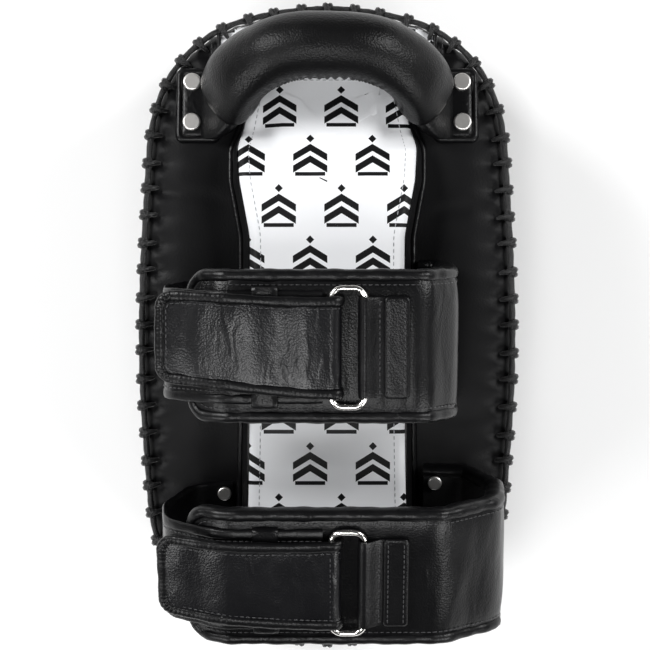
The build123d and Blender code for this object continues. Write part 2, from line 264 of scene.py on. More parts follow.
def buildGrain():
    # pebbled leather pores with finer pits between them
    group, given, result = newGroup(
        "leatherGrain", {"Vector": None, "Scale": 900.0, "Pits": 0.4}, ("Height", "Patch")
    )
    do = partial(calc, group)
    spot, scale, pits = given[0], given[1], given[2]
    cells = addNode(group, "TexVoronoi", {"Vector": spot, "Scale": scale, "Randomness": 0.9}, feature="F1")
    fine = addNode(group, "TexNoise", {"Vector": spot, "Scale": do("MULTIPLY", scale, 1.7), "Detail": 3.0})
    wide = addNode(group, "TexNoise", {"Vector": spot, "Scale": do("MULTIPLY", scale, 0.03), "Detail": 4.0})
    pebbles = do("MULTIPLY", cells.outputs["Distance"], -1.0)
    group.links.new(do("ADD", pebbles, do("MULTIPLY", fine.outputs[0], pits)), result[0])
    group.links.new(wide.outputs[0], result[1])
    return group


def buildCreases():
    # folds worn into soft leather: ridged lines pulled along one direction
    group, given, result = newGroup(
        "wornCreases", {"Vector": None, "Scale": 90.0, "Stretch": (1.0, 0.35, 1.0)}, ("Height",)
    )
    do = partial(calc, group)
    pulled = addNode(group, "VectorMath", {0: given[0], 1: given[2]}, operation="MULTIPLY").outputs[0]
    ridge = addNode(
        group, "TexNoise",
        {"Vector": pulled, "Scale": given[1], "Detail": 5.0, "Roughness": 0.55, "Distortion": 0.9},
        noise_type="RIDGED_MULTIFRACTAL",
    )
    soft = addNode(
        group, "TexNoise", {"Vector": pulled, "Scale": do("MULTIPLY", given[1], 0.5), "Detail": 2.0}
    )
    group.links.new(do("MULTIPLY", ridge.outputs[0], soft.outputs[0]), result[0])
    return group


motifShape = {
    "slope": 0.62, "stroke": 2.1, "reach": 9.6, "chevrons": (5.2, -1.6), "bar": (-10.3, 1.1, 8.4),
    "gem": (10.4, 2.3)
}


def buildMotif():
    # staggered print: two stacked chevrons between a small diamond and a bar, drawn in mm
    group, given, result = newGroup(
        "chevronPrint", {"Vector": None, "Column": 0.035, "Row": 0.0288}, ("Ink",)
    )
    do = partial(calc, group)
    column, row = given[1], given[2]
    parts = addNode(group, "SeparateXYZ", {0: given[0]}).outputs
    rowAt = do("DIVIDE", parts[1], row)
    odd = do("FRACT", do("MULTIPLY", do("FLOOR", rowAt), 0.5))
    columnAt = do("ADD", do("DIVIDE", parts[0], column), odd)
    x = do("MULTIPLY", do("SUBTRACT", do("FRACT", columnAt), 0.5), do("MULTIPLY", column, 1000.0))
    y = do("MULTIPLY", do("SUBTRACT", do("FRACT", rowAt), 0.5), do("MULTIPLY", row, 1000.0))
    wide = do("ABSOLUTE", x)

    def below(value, limit):
        return do("LESS_THAN", value, limit)

    roof = do("ADD", y, do("MULTIPLY", wide, motifShape["slope"]))
    marks = []
    for centre in motifShape["chevrons"]:
        band = do("ABSOLUTE", do("SUBTRACT", roof, centre))
        marks.append(do("MULTIPLY", below(band, motifShape["stroke"]), below(wide, motifShape["reach"])))
    barAt, barHalf, barReach = motifShape["bar"]
    offBar = do("ABSOLUTE", do("SUBTRACT", y, barAt))
    marks.append(do("MULTIPLY", below(offBar, barHalf), below(wide, barReach)))
    gemAt, gemHalf = motifShape["gem"]
    marks.append(below(do("ADD", wide, do("ABSOLUTE", do("SUBTRACT", y, gemAt))), gemHalf))
    group.links.new(reduce(partial(do, "MAXIMUM"), marks), result[0])
    return group


leatherGrain, wornCreases, chevronPrint = buildGrain(), buildCreases(), buildMotif()


def newMaterial(name, color, roughness, **more):
    material = bpy.data.materials.new(name)
    material.use_nodes = True
    tree = material.node_tree
    shader = tree.nodes["Principled BSDF"]
    shader.inputs["Base Color"].default_value = (*color, 1)
    shader.inputs["Roughness"].default_value = roughness
    for key, value in more.items():
        shader.inputs[key.replace("_", " ")].default_value = value
    return material, tree, shader, tree.nodes.new("ShaderNodeTexCoord")


def cloudy(tree, share, color, dark, light):
    # a colour that wanders between a darker and a lighter shade
    tint = addNode(tree, "Mix", {0: share}, data_type="RGBA")
    tint.inputs[6].default_value = (*[c * dark for c in color], 1)
    tint.inputs[7].default_value = (*[c * light for c in color], 1)
    return tint.outputs[2]


def leatherFinish(name, color, roughness, grain, creases, stretch, creaseScale, specular):
    material, tree, shader, coords = newMaterial(name, color, roughness, Specular_IOR_Level=specular)
    spot = coords.outputs["Object"]
    pores = addNode(tree, "Group", {0: spot, 1: 850.0}, node_tree=leatherGrain)
    worn = addNode(tree, "Group", {0: spot, 1: creaseScale, 2: stretch}, node_tree=wornCreases)
    fold = addNode(tree, "Bump", {"Height": worn.outputs[0], "Strength": creases, "Distance": 0.0012})
    pore = addNode(
        tree, "Bump",
        {"Height": pores.outputs[0], "Strength": grain, "Distance": 0.00025, "Normal": fold.outputs[0]},
    )
    tree.links.new(pore.outputs[0], shader.inputs["Normal"])
    uneven = calc(tree, "MULTIPLY", calc(tree, "SUBTRACT", pores.outputs[1], 0.5), 0.24)
    tree.links.new(calc(tree, "ADD", uneven, roughness), shader.inputs["Roughness"])
    tree.links.new(cloudy(tree, pores.outputs[1], color, 0.75, 1.3), shader.inputs["Base Color"])
    return material


# colour, roughness, grain, crease depth, crease stretch, crease scale, specular
leathers = {
    "smoothLeather": ((0.003, 0.003, 0.0034), 0.5, 0.25, 0.10, (0.5, 0.5, 0.5), 40.0, 0.14),
    "wallLeather": ((0.004, 0.004, 0.0045), 0.38, 0.25, 0.30, (1.2, 1.2, 0.3), 90.0, 0.25),
    "gripLeather": ((0.003, 0.003, 0.0033), 0.36, 0.6, 0.14, (0.6, 0.6, 0.6), 50.0, 0.2),
    "strapLeather": ((0.0024, 0.0024, 0.0028), 0.32, 0.34, 0.4, (1.5, 0.45, 0.6), 90.0, 0.24),
    "flapLeather": ((0.003, 0.003, 0.0038), 0.29, 0.34, 0.6, (1.5, 0.6, 0.6), 85.0, 0.42),
    "bindingLeather": ((0.0022, 0.0022, 0.0026), 0.34, 0.2, 0.35, (1.6, 1.6, 1.6), 130.0, 0.25),
    "liningLeather": ((0.005, 0.005, 0.0055), 0.5, 0.3, 0.25, (1.0, 0.35, 1.0), 90.0, 0.25),
}
smoothLeather, wallLeather, gripLeather, strapLeather, flapLeather, bindingLeather, liningLeather = [
    leatherFinish(name, *values) for name, values in leathers.items()
]


def printedFinish():
    material, tree, shader, coords = newMaterial(
        "printedLeather", (0.83, 0.84, 0.86), 0.4, Specular_IOR_Level=0.22
    )
    spot = coords.outputs["Object"]
    place = addNode(tree, "Mapping", {"Vector": spot, "Location": (0.0095, -0.0516, 0.0)})
    motif = addNode(tree, "Group", {0: place.outputs[0]}, node_tree=chevronPrint)
    pores = addNode(tree, "Group", {0: spot, 1: 700.0}, node_tree=leatherGrain)
    cloud = addNode(tree, "Mix", {0: pores.outputs[1]}, data_type="RGBA")
    cloud.inputs[6].default_value = (0.80, 0.815, 0.84, 1)
    cloud.inputs[7].default_value = (0.88, 0.885, 0.90, 1)
    mix = addNode(tree, "Mix", {0: motif.outputs[0], 6: cloud.outputs[2]}, data_type="RGBA")
    mix.inputs[7].default_value = (0.004, 0.004, 0.0045, 1)
    tree.links.new(mix.outputs[2], shader.inputs["Base Color"])
    shine = calc(tree, "MULTIPLY", pores.outputs[1], 0.15)
    shine = calc(tree, "ADD", shine, calc(tree, "MULTIPLY", motif.outputs[0], 0.12))
    tree.links.new(calc(tree, "ADD", shine, 0.30), shader.inputs["Roughness"])
    bump = addNode(tree, "Bump", {"Height": pores.outputs[0], "Strength": 0.12, "Distance": 0.0002})
    tree.links.new(bump.outputs[0], shader.inputs["Normal"])
    return material


def metalFinish(name, polish):
    material, tree, shader, coords = newMaterial(name, (0.93, 0.91, 0.88), polish, Metallic=1.0)
    spot = coords.outputs["Object"]
    scratch = addNode(tree, "TexNoise", {"Vector": spot, "Scale": 900.0, "Detail": 4.0, "Roughness": 0.7})
    uneven = calc(tree, "MULTIPLY", scratch.outputs[0], 0.16)
    tree.links.new(calc(tree, "ADD", uneven, polish), shader.inputs["Roughness"])
    bump = addNode(tree, "Bump", {"Height": scratch.outputs[0], "Strength": 0.08, "Distance": 0.0001})
    tree.links.new(bump.outputs[0], shader.inputs["Normal"])
    return material


def fibreFinish(name, color, scale, strength, roughness=0.8):
    # twisted or woven yarn: two crossed waves broken up by noise
    material, tree, shader, coords = newMaterial(
        name, color, roughness, Sheen_Weight=0.15, Sheen_Roughness=0.4
    )
    spot = coords.outputs["Object"]
    turned = addNode(tree, "Mapping", {"Vector": spot, "Rotation": (0.0, 0.0, 1.57)}).outputs[0]
    one, two = [
        addNode(
            tree, "TexWave", {"Vector": way, "Scale": scale, "Distortion": 2.0, "Detail": 2.0},
            bands_direction="DIAGONAL",
        ).outputs[1]
        for way in (spot, turned)
    ]
    weave = calc(tree, "MULTIPLY", one, two)
    bump = addNode(tree, "Bump", {"Height": weave, "Strength": strength, "Distance": 0.0004})
    tree.links.new(bump.outputs[0], shader.inputs["Normal"])
    tree.links.new(cloudy(tree, weave, color, 0.6, 1.5), shader.inputs["Base Color"])
    return material


printedLeather = printedFinish()
brightMetal, rivetMetal = metalFinish("brightMetal", 0.08), metalFinish("rivetMetal", 0.30)
laceCordFinish = fibreFinish("laceCordFinish", (0.0035, 0.0035, 0.004), 420.0, 0.6, 0.5)
hookFinish = fibreFinish("hookFinish", (0.006, 0.006, 0.006), 900.0, 0.9, 0.9)
foamFinish = fibreFinish("foamFinish", (0.06, 0.06, 0.07), 260.0, 0.4, 0.9)
# black thread, its colour raised well above the leather's as a painted highlight, so the stitches read
# lighter as if catching light
blackThreadPaintedSheen = fibreFinish("blackThreadPaintedSheen", (0.022, 0.022, 0.024), 1500.0, 0.3, 0.4)
threadGrey = fibreFinish("threadGrey", (0.45, 0.46, 0.48), 1500.0, 0.3, 0.6)
print("finishes ready")


# the padded block

block = {
    "end": 183.0,
    "side": [(32, 179.6), (60, 171), (87.5, 146), (98.5, 118), (101.5, 84), (103.5, 40), (104.4, -6),
             (103.6, -44), (101.4, -80), (97.6, -118), (86.5, -147), (60, -171), (32, -179.6)],
    "stations": 640,
    "stitches": 64,
    "bandHalf": 62.0 * mm,
    "bandEnds": (-152.0 * mm, 122.0 * mm),
    "shoulder": 9.0 * mm,
    "rollDrop": 4.5 * mm,
    "wallBelly": 1.4 * mm,
    "strikeInset": 7.0 * mm,
    "wrinkles": ((0.0745, 0.0038, -1), (0.066, 0.0045, 1), (-0.052, 0.005, 1), (-0.098, 0.004, -1)),
}


def backZ(y, lift=0.0):
    return bend["centreZ"] + np.sqrt((bend["back"] + lift) ** 2 - np.asarray(y) ** 2)


def blockOutline(count):
    # clamped cubic through the rim points of one side, then mirrored
    pts = np.array([(0, block["end"])] + block["side"] + [(0, -block["end"])]) * mm
    t = walked(pts)
    h = np.diff(t)
    n = len(pts)
    system, right = np.zeros((n, n)), np.zeros((n, 2))
    system[0, 0] = system[-1, -1] = 1
    right[0], right[-1] = (1, 0), (-1, 0)
    for i in range(1, n - 1):
        system[i, i - 1], system[i, i], system[i, i + 1] = h[i], 2 * (h[i - 1] + h[i]), h[i - 1]
        right[i] = 3 * (h[i] * (pts[i] - pts[i - 1]) / h[i - 1] + h[i - 1] * (pts[i + 1] - pts[i]) / h[i])
    slope = np.linalg.solve(system, right)
    dense = []
    for i in range(n - 1):
        for s in np.linspace(0, 1, 40, endpoint=False):
            a, b = 2 * s**3 - 3 * s**2 + 1, s**3 - 2 * s**2 + s
            spot = a * pts[i] + b * h[i] * slope[i] + (1 - a) * pts[i + 1]
            dense.append(spot + (s**3 - s**2) * h[i] * slope[i + 1])
    dense.append(pts[-1])
    dense = np.array(dense)
    ring = np.concatenate([dense, (dense * [-1, 1])[::-1][1:]])
    steps = walked(ring)
    at = np.linspace(0, steps[-1], count, endpoint=False)
    out = np.stack([np.interp(at, steps, ring[:, i]) for i in range(2)], axis=1)
    ahead = unit(np.roll(out, -1, axis=0) - np.roll(out, 1, axis=0))
    return out, np.stack([ahead[:, 1], -ahead[:, 0]], axis=1)


rim, rimIn = blockOutline(block["stations"])
stitchPhase = np.arange(block["stations"]) / block["stations"] * block["stitches"]
pinch = 0.5 + 0.5 * np.cos(2 * math.pi * stitchPhase)


def backPoint(x, y, lift):
    # a place on the back, raised along the bend's own outward direction
    grow = 1 + lift / bend["back"]
    return np.stack([x, y * grow, bend["centreZ"] + (backZ(y) - bend["centreZ"]) * grow], axis=-1)


def buildBlock():
    spine = np.stack([np.zeros(len(rim)), rim[:, 1] * 0.55], axis=1)
    rings = []
    for f in (0.0, 0.12, 0.25, 0.38, 0.5, 0.6, 0.68, 0.75, 0.81, 0.86):
        rings.append(shapeBack(spine + (rim + rimIn * 20 * mm - spine) * f / 0.86, 99 * mm))
    for inset in (17, 14.5, 12, 10, 8.3, 7, 6, 5, 3.8, 2.6, 1.5, 0.7, 0.2, 0.0):
        rings.append(shapeBack(rim + rimIn * inset * mm, inset * mm))
    for drop in np.concatenate([np.linspace(0.04, 0.93, 22), [0.95, 0.965, 0.98, 0.99]]):
        rings.append(shapeWall(drop))
    for inset in (0.6, 1.8, 3.6, 6, 9, 13, 18, 26):
        rings.append(shapeStrike(rim + rimIn * inset * mm, inset * mm))
    for f in (0.82, 0.7, 0.56, 0.42, 0.28, 0.14, 0.0):
        flat = spine + (rim + rimIn * 26 * mm - spine) * f / 0.9
        rings.append(shapeStrike(flat, 99 * mm))
    return loftLoops("padCover", rings, closeEnds=False, smooth=50)


def shapeBack(flat, inset):
    x, y = flat[:, 0], flat[:, 1]
    side = np.clip((np.abs(x) - 56 * mm) / (44 * mm), 0, 1)
    lift = 2.2 * mm * np.sin(math.pi * side) * smoothStep(np.abs(x), 0.056, 0.07)
    lift = lift * (1 - smoothStep(np.abs(y), 0.12, 0.17))
    if inset < 50 * mm:
        roll = np.clip(1 - inset / block["shoulder"], 0, 1)
        lift = lift * smoothStep(inset, 0.002, 0.02) - block["rollDrop"] * roll**2.4
        lift = lift - pinch * 1.7 * mm * math.exp(-(((inset - 6.5 * mm) / (3.2 * mm)) ** 2))
        lift = lift + (1 - pinch) * 0.5 * mm * math.exp(-(((inset - 8 * mm) / (7 * mm)) ** 2))
        lift = lift - pinch**3 * 0.7 * mm * math.exp(-(inset - 6 * mm) / (9 * mm)) * (inset > 6 * mm)
    for crossing, reach, sign in block["wrinkles"]:
        away = (y - crossing - 0.05 * (np.abs(x) - 0.08)) / reach
        fold = np.exp(-(away**2)) * smoothStep(x * sign, 0.058, 0.07)
        lift = lift - 0.9 * mm * fold * (1 - smoothStep(np.abs(x), 0.088, 0.1))
    return backPoint(x, y, lift - 0.2 * mm)


def shapeWall(drop):
    top = backZ(rim[:, 1]) - 4.7 * mm
    low = bend["centreZ"] + np.sqrt(bend["strike"] ** 2 - rim[:, 1] ** 2) + 0.6 * mm
    z = top + (low - top) * drop
    belly = block["wallBelly"] * math.sin(math.pi * drop)
    belly -= block["strikeInset"] * max(0.0, (drop - 0.9) / 0.1) ** 2.2
    tuck = -pinch * 1.3 * mm * math.exp(-(((drop - 0.035) / 0.03) ** 2))
    tuck = tuck + (1 - pinch) * 0.35 * mm * math.exp(-drop * 9)
    seam = -0.7 * mm * math.exp(-(((drop - 0.8) / 0.012) ** 2))
    out = -(belly + tuck + seam)
    flat = rim + rimIn * np.broadcast_to(out, (len(rim),))[:, None]
    return np.stack([flat[:, 0], flat[:, 1], z], axis=1)


def shapeStrike(flat, inset):
    y = flat[:, 1]
    z = bend["centreZ"] + np.sqrt(bend["strike"] ** 2 - y**2)
    curl = 0.0
    if inset < 50 * mm:
        curl = 1.6 * mm * max(0.0, 1 - (inset + block["strikeInset"]) / (20 * mm)) ** 2
        flat = flat + rimIn * block["strikeInset"] * max(0.0, 1 - inset / (26 * mm))
    return np.stack([flat[:, 0], flat[:, 1], z + curl + 0.2 * mm], axis=1)


padCover = buildBlock()


def liftBand(cover, name):
    # a printed band is a thin sheet lying on one end of the back between its seams
    pick(cover)
    bpy.ops.object.mode_set(mode="EDIT")
    if name.endswith("upper"):
        for x in (-block["bandHalf"], block["bandHalf"]):
            bpy.ops.mesh.select_all(action="SELECT")
            bpy.ops.mesh.bisect(plane_co=(x, 0, 0), plane_no=(1, 0, 0))
        for y in block["bandEnds"]:
            bpy.ops.mesh.select_all(action="SELECT")
            bpy.ops.mesh.bisect(plane_co=(0, y, 0), plane_no=(0, 1, 0))
    bpy.ops.mesh.select_all(action="DESELECT")
    bpy.ops.object.mode_set(mode="OBJECT")
    for face in cover.data.polygons:
        x, y, z = face.center
        end = y > block["bandEnds"][1] if name.endswith("upper") else y < block["bandEnds"][0]
        onBack = z > backZ(y) - 3.6 * mm and face.normal.z > 0.3
        face.select = bool(onBack and abs(x) < block["bandHalf"] and end)
    bpy.ops.object.mode_set(mode="EDIT")
    bpy.ops.mesh.duplicate()
    bpy.ops.transform.shrink_fatten(value=0.3 * mm)
    bpy.ops.mesh.separate(type="SELECTED")
    bpy.ops.object.mode_set(mode="OBJECT")
    band = [o for o in bpy.context.selected_objects if o is not cover][0]
    band.name = name
    band.data.name = name
    pick(band)
    wall = band.modifiers.new("wall", "SOLIDIFY")
    wall.thickness, wall.offset = 0.8 * mm, -1.0
    bpy.ops.object.modifier_apply(modifier="wall")
    return band


bands = [liftBand(padCover, "printedBand_" + end) for end in ("upper", "lower")]
coverStands = (
    "strike_cover", "back_panel_left", "back_panel_right", "back_panel_center",
    "strike_foam", "core_foam", "backing_foam",
)
dress(padCover, smoothLeather, stands=coverStands)
dress(bands[0], printedLeather, stands=("back_panel_end_upper",))
dress(bands[1], printedLeather, stands=("back_panel_end_lower",))
print("block and band ready", len(padCover.data.vertices))


# arm cushion

cushion = {
    "height": 28.0, "rampFrom": 84.0, "rampTo": 146.0, "rampEnd": 11.0, "draft": 0.1564, "widestZ": 115.0,
    "right": [(38, 146), (45, 128), (48.5, 112), (53.6, 100), (54, 82), (48.5, 50), (48.5, -160)],
    "corners": [10, 24, 20, 14, 30, 30, 22],
    "crown": 1.6, "edge": 4.5, "welt": 1.9,
}


def cushionOutline(count):
    right = cushion["right"]
    points = right + [(-x, y) for x, y in right[::-1]]
    return roundedPath(points, cushion["corners"] + cushion["corners"][::-1], count, closed=True) * mm


foot = cushionOutline(360)
footAhead = unit(np.roll(foot, -1, axis=0) - np.roll(foot, 1, axis=0))
footIn = np.stack([footAhead[:, 1], -footAhead[:, 0]], axis=1)
if (footIn[10] @ (foot.mean(axis=0) - foot[10])) < 0:
    footIn = -footIn


def cushionTopZ(x, y):
    # full height to the ramp, then a straight ramp that dips under the grip's ends
    full = backZ(np.minimum(y, cushion["rampFrom"] * mm), cushion["height"] * mm)
    run = np.clip((y - cushion["rampFrom"] * mm) / ((cushion["rampTo"] - cushion["rampFrom"]) * mm), 0, 1)
    end = backZ(cushion["rampTo"] * mm, cushion["rampEnd"] * mm)
    ramp = full + (end - full) * (run + 0.42 * run * (1 - run))
    dip = smoothStep(np.abs(x), 0.027, 0.037) * smoothStep(y, 0.098, 0.112)
    return ramp + (backZ(y, 0.0085) - ramp) * dip


def cushionLoop(up, inset, sink=0.0):
    flat = foot + footIn * inset
    z = backZ(flat[:, 1]) + (cushionTopZ(flat[:, 0], flat[:, 1]) - backZ(flat[:, 1])) * up - sink
    grow = (cushion["widestZ"] * mm - z) * cushion["draft"]
    wide = np.where(np.abs(flat[:, 0]) > 1 * mm, np.sign(flat[:, 0]) * grow, 0)
    wide = wide * np.clip(np.abs(flat[:, 0]) / (20 * mm), 0, 1)
    return np.stack([flat[:, 0] + wide, flat[:, 1], z], axis=1)


def cushionTopLoop(inset, sink, lift=0.0):
    loop = cushionLoop(1.0, inset)
    crown = cushion["crown"] * mm * (1 - math.exp(-inset / (16 * mm)))
    loop[:, 2] += crown - sink + lift
    return loop


def buildCushion():
    edge = cushion["edge"] * mm
    loops = []
    for f in (0.0, 0.3, 0.7):
        ring = cushionLoop(0.0, 4 * mm)
        spine = ring * [0, 0.8, 1]
        loops.append(spine + (ring - spine) * f - [0, 0, 0.0015])
    for up in np.linspace(0, 0.84, 16):
        puff = 1.1 * mm * math.sin(math.pi * min(1, up / 0.9))
        ring = cushionLoop(up, -puff)
        wave = grainNoise(ring * [1, 1, 0.3], 90, 3.0) * 0.7 * mm * math.sin(math.pi * up / 0.9)
        loops.append(ring + np.concatenate([-footIn * wave[:, None], np.zeros((len(ring), 1))], axis=1))
    for turn in np.linspace(0.1, 1, 6):
        angle = turn * math.pi / 2
        sink = edge * (1 - math.sin(angle)) + (0.7 + 2.4 * turn**2) * mm
        loops.append(cushionTopLoop(edge * (1 - math.cos(angle)), sink))
    ring = loops[-1]
    for f in (0.75, 0.5, 0.25, 0.0):
        spine = ring * [0, 0.8, 1]
        spine[:, 2] = cushionTopZ(spine[:, 0], spine[:, 1]) - 3.0 * mm
        loops.append(spine + (ring - spine) * f)
    return loftLoops("armCushion", loops, closeEnds=False, smooth=60)


def buildPrintedTop():
    # a thin sheet over the top, rolled a little way down the sides to its seam
    edge = cushion["edge"] * mm
    over, under = [], []
    for turn in np.linspace(0.0, 1, 8):
        angle = turn * math.pi / 2
        for rows, depth in ((over, 0.0), (under, 0.9 * mm)):
            inset = edge * (1 - math.cos(angle)) + depth * math.cos(angle)
            sink = edge * (1 - math.sin(angle)) + depth * math.sin(angle) - 0.1 * mm
            rows.append(cushionTopLoop(inset, sink))
    for inset in (6, 8, 11, 15, 20, 26):
        for rows, depth in ((over, 0.0), (under, 0.9 * mm)):
            rows.append(cushionTopLoop(inset * mm, depth))
    for rows, depth in ((over, 0.0), (under, 0.9 * mm)):
        ring = rows[-1]
        for f in (0.7, 0.35, 0.0):
            spine = ring * [0, 0.86, 1]
            spine[:, 2] = cushionTopZ(spine[:, 0], spine[:, 1]) + cushion["crown"] * mm * 0.85 - depth
            rows.append(spine + (ring - spine) * f)
    return loftLoops("printedTop", under[::-1] + over, closeEnds=False, smooth=60)


armCushion = dress(
    buildCushion(), wallLeather, stands=("arm_cushion_gusset", "arm_cushion_foam")
)
dress(buildPrintedTop(), printedLeather, stands=("arm_cushion_top",))
weltPath = cushionLoop(0.0, -1.2 * mm) + [0, 0, 1.5 * mm]
welt = tube("cushionWelt", weltPath, cushion["welt"] * mm, around=12, closed=True)
dress(welt, bindingLeather, stands=("arm_cushion_welt",))
seamLine = cushionTopLoop(6.2 * mm, 0.0)
seamLine = np.concatenate([seamLine, seamLine[:1]])
upright = np.tile([0, 0, 1.0], (len(seamLine), 1))
topStitch = stitchRow("topStitch", seamLine, upright, pitch=3.6 * mm, length=2.4 * mm, thick=0.28 * mm)
dress(topStitch, threadGrey)
print("arm cushion ready")


# hand grip

grip = {
    "y": 127.0, "lean": 17.0, "radius": 19.0,
    "path": [(-56, 5), (-48, 40), (-22, 57), (22, 57), (48, 40), (56, 5)],
    "bends": [34, 50, 50, 34],
    "gathers": 5.0, "gatherDepth": 1.1, "seamTurn": 0.62,
}


def crossFrame(y, lean=0.0):
    # a place on the back, the way out of it and the way along it, leaning some degrees more than the bend
    a = math.asin(y * mm / bend["back"]) + math.radians(lean)
    origin = np.array([0, y * mm, float(backZ(y * mm))])
    return origin, np.array([0, math.sin(a), math.cos(a)]), np.array([0, math.cos(a), -math.sin(a)])


def buildGrip():
    origin, out, along = crossFrame(grip["y"], grip["lean"])
    flat = roundedPath(grip["path"], grip["bends"], 240)
    length = walked(flat)[-1]
    at = np.linspace(0, length, len(flat))
    centre = origin + flat[:, :1] * mm * rightward + flat[:, 1:] * mm * out
    ahead = unit(np.gradient(centre, axis=0))
    toFront = -along
    away = np.cross(toFront, ahead)
    if away[len(away) // 2] @ out < 0:
        away = -away
    angle = aroundOnce(72)
    loops = []
    for k in range(len(flat)):
        fromEnd = min(at[k], length - at[k])
        cap = math.sqrt(max(0.0, 1 - (1 - min(fromEnd / 15.0, 1)) ** 2))
        shrink = max(cap, 0.02) * (1 - 0.10 * (1 - float(smoothStep(fromEnd, 5, 42))))
        middle = at[k] - length / 2
        strength = 1 - float(smoothStep(abs(middle), 26, 48))
        ripple = math.cos(2 * math.pi * middle / grip["gathers"] + 0.9 * math.sin(middle * 0.31))
        delta = np.angle(np.exp(1j * (angle - grip["seamTurn"])))
        radius = grip["radius"] * (1 + 0.012 * np.cos(2 * angle))
        fold = np.exp(-((delta / 0.34) ** 2)) * strength
        radius = radius - grip["gatherDepth"] * fold * (0.5 - 0.5 * ripple)
        radius = radius - 1.3 * np.exp(-((delta / 0.07) ** 2)) * (0.35 + 0.65 * strength)
        radius = radius + 0.5 * np.exp(-((abs(delta) - 0.25) / 0.15) ** 2) * strength * ripple
        flare = float(smoothStep(abs(middle), 14, length / 2 - 6))
        reach = 0.52 * flare * np.clip(np.cos(angle), 0, 1) ** 1.3
        outward = 0.97 + 0.16 * flare * np.clip(-np.sin(angle), 0, 1)
        shoulder = math.exp(-(((abs(middle) - 47) / 15) ** 2))
        radius = radius - 2.8 * shoulder * np.clip(-np.sin(angle), 0, 1)
        section = toFront * (np.cos(angle) * (1 + reach))[:, None]
        section = section - away[k] * (np.sin(angle) * outward)[:, None]
        loops.append(centre[k] + section * (radius * shrink * mm)[:, None])
    piece = loftLoops("gripRoll", loops, smooth=80)
    points = np.empty(len(piece.data.vertices) * 3)
    piece.data.vertices.foreach_get("co", points)
    points = points.reshape(-1, 3)
    normals = np.array([v.normal for v in piece.data.vertices])
    uneven = grainNoise(points, 45, 8.0) * 0.45 * mm + grainNoise(points, 130, 2.0) * 0.12 * mm
    points = points + normals * uneven[:, None]
    piece.data.vertices.foreach_set("co", points.reshape(-1))
    return piece


gripRoll = dress(buildGrip(), gripLeather, "grip", stands=("grip_cover", "grip_foam"))

tabs = {
    "in": 61.0, "out": 86.5, "low": -23.5, "high": 20.5,
    "levels": [(3, -1.5), (0.4, -1.5), (0.0, 0.5), (-0.3, 2.0), (0.0, 3.2), (0.8, 4.0), (1.8, 4.3),
               (2.8, 4.1), (3.4, 3.5), (3.8, 3.2), (4.2, 3.45), (5.2, 3.75), (7.0, 3.9), (9.0, 3.95)],
}


def roundedRectangle(x0, x1, y0, y1, radius, count):
    return roundedPath([(x0, y0), (x1, y0), (x1, y1), (x0, y1)], [radius] * 4, count, closed=True)


def roundedPatch(name, box, levels, put, radius, count, smooth=60):
    # rounded rectangles stacked as (inset, height) levels; put gives each its place
    x0, x1, y0, y1 = box
    rows = []
    for inset, height in levels:
        ring = roundedRectangle(x0 + inset, x1 - inset, y0 + inset, y1 - inset, radius, count)
        rows.append(put(ring[:, 0], ring[:, 1], height))
    return loftLoops(name, rows, smooth=smooth)


def buildTab(side, name):
    origin, out, along = crossFrame(grip["y"])

    def tabRing(inset, height, radius, count):
        # the tab's outline, set in, at some height over the back
        x0, x1, y0, y1 = tabs["in"] + inset, tabs["out"] - inset, tabs["low"] + inset, tabs["high"] - inset
        ring = roundedRectangle(x0, x1, y0, y1, radius, count)
        return origin + ring[:, :1] * side * mm * rightward + ring[:, 1:] * mm * along + height * mm * out

    loops = [tabRing(inset, height, max(0.6, 4.0 - inset * 0.5), 96) for inset, height in tabs["levels"]]
    piece = loftLoops(name, loops, smooth=50)
    line = tabRing(3.9, 3.3, 2.2, 120)
    line = np.concatenate([line, line[:1]])
    thread = stitchRow(name + "Stitch", line, np.tile(out, (len(line), 1)), pitch=3.0 * mm, length=2.1 * mm)
    return piece, thread


def buildNeck(side, name):
    # the roll's leather narrows into its tab
    origin, out, along = crossFrame(grip["y"])
    angle = aroundOnce(48)
    loops = []
    for x, height, reach, thick, shift in (
        (50, 16, 13, 9.0, -3), (54, 14, 16, 10.0, -4), (59, 11.5, 18, 8.5, -4.5), (63, 8.8, 19.5, 6.0, -4),
        (66.5, 6.4, 20, 3.6, -3), (69.5, 4.9, 20, 1.8, -2), (72.0, 4.0, 19.5, 0.9, -2)
    ):
        across = np.sign(np.cos(angle)) * np.abs(np.cos(angle)) ** 0.7 * reach + shift
        upward = np.sign(np.sin(angle)) * np.abs(np.sin(angle)) ** 0.8 * thick + height
        loops.append(
            origin + side * x * mm * rightward + across[:, None] * mm * along + upward[:, None] * mm * out
        )
    return loftLoops(name, loops, smooth=70)


for side, word in ((-1, "left"), (1, "right")):
    tab, thread = buildTab(side, "gripTab_" + word)
    dress(tab, bindingLeather, stands=("handle_tab_" + word,))
    dress(thread, blackThreadPaintedSheen)
    neck = buildNeck(side, "gripNeck_" + word)
    neck.data.materials.append(gripLeather)
    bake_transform(neck)
print("hand grip ready")


# laced rim

lacing = {"cord": 1.9, "out": 0.8, "bow": 0.25}
# each hitch goes twice round the rim's edge: places along, out and up, and the cord's radius at each
windings = (
    ("hitch",
     [(-1.1, -0.6, -3.2), (-0.8, 2.3, -3.2), (-0.5, 3.3, -0.6), (-0.2, 2.5, 1.9),
      (0.1, 0.4, 2.3), (0.3, -2.2, 1.0), (0.4, -4.4, -0.4), (0.45, -5.4, -2.6)],
     [1.3, 1.6, 1.8, 1.85, 1.75, 1.5, 1.25, 0.9]),
    ("wrap",
     [
         (1.2, -0.4, -3.2), (1.15, 2.1, -3.0), (0.95, 3.2, -0.6), (0.75, 2.4, 1.8), (0.4, 0.3, 2.0),
         (0.0, -1.0, -0.4)
     ],
     [1.2, 1.5, 1.7, 1.7, 1.5, 1.1]),
)


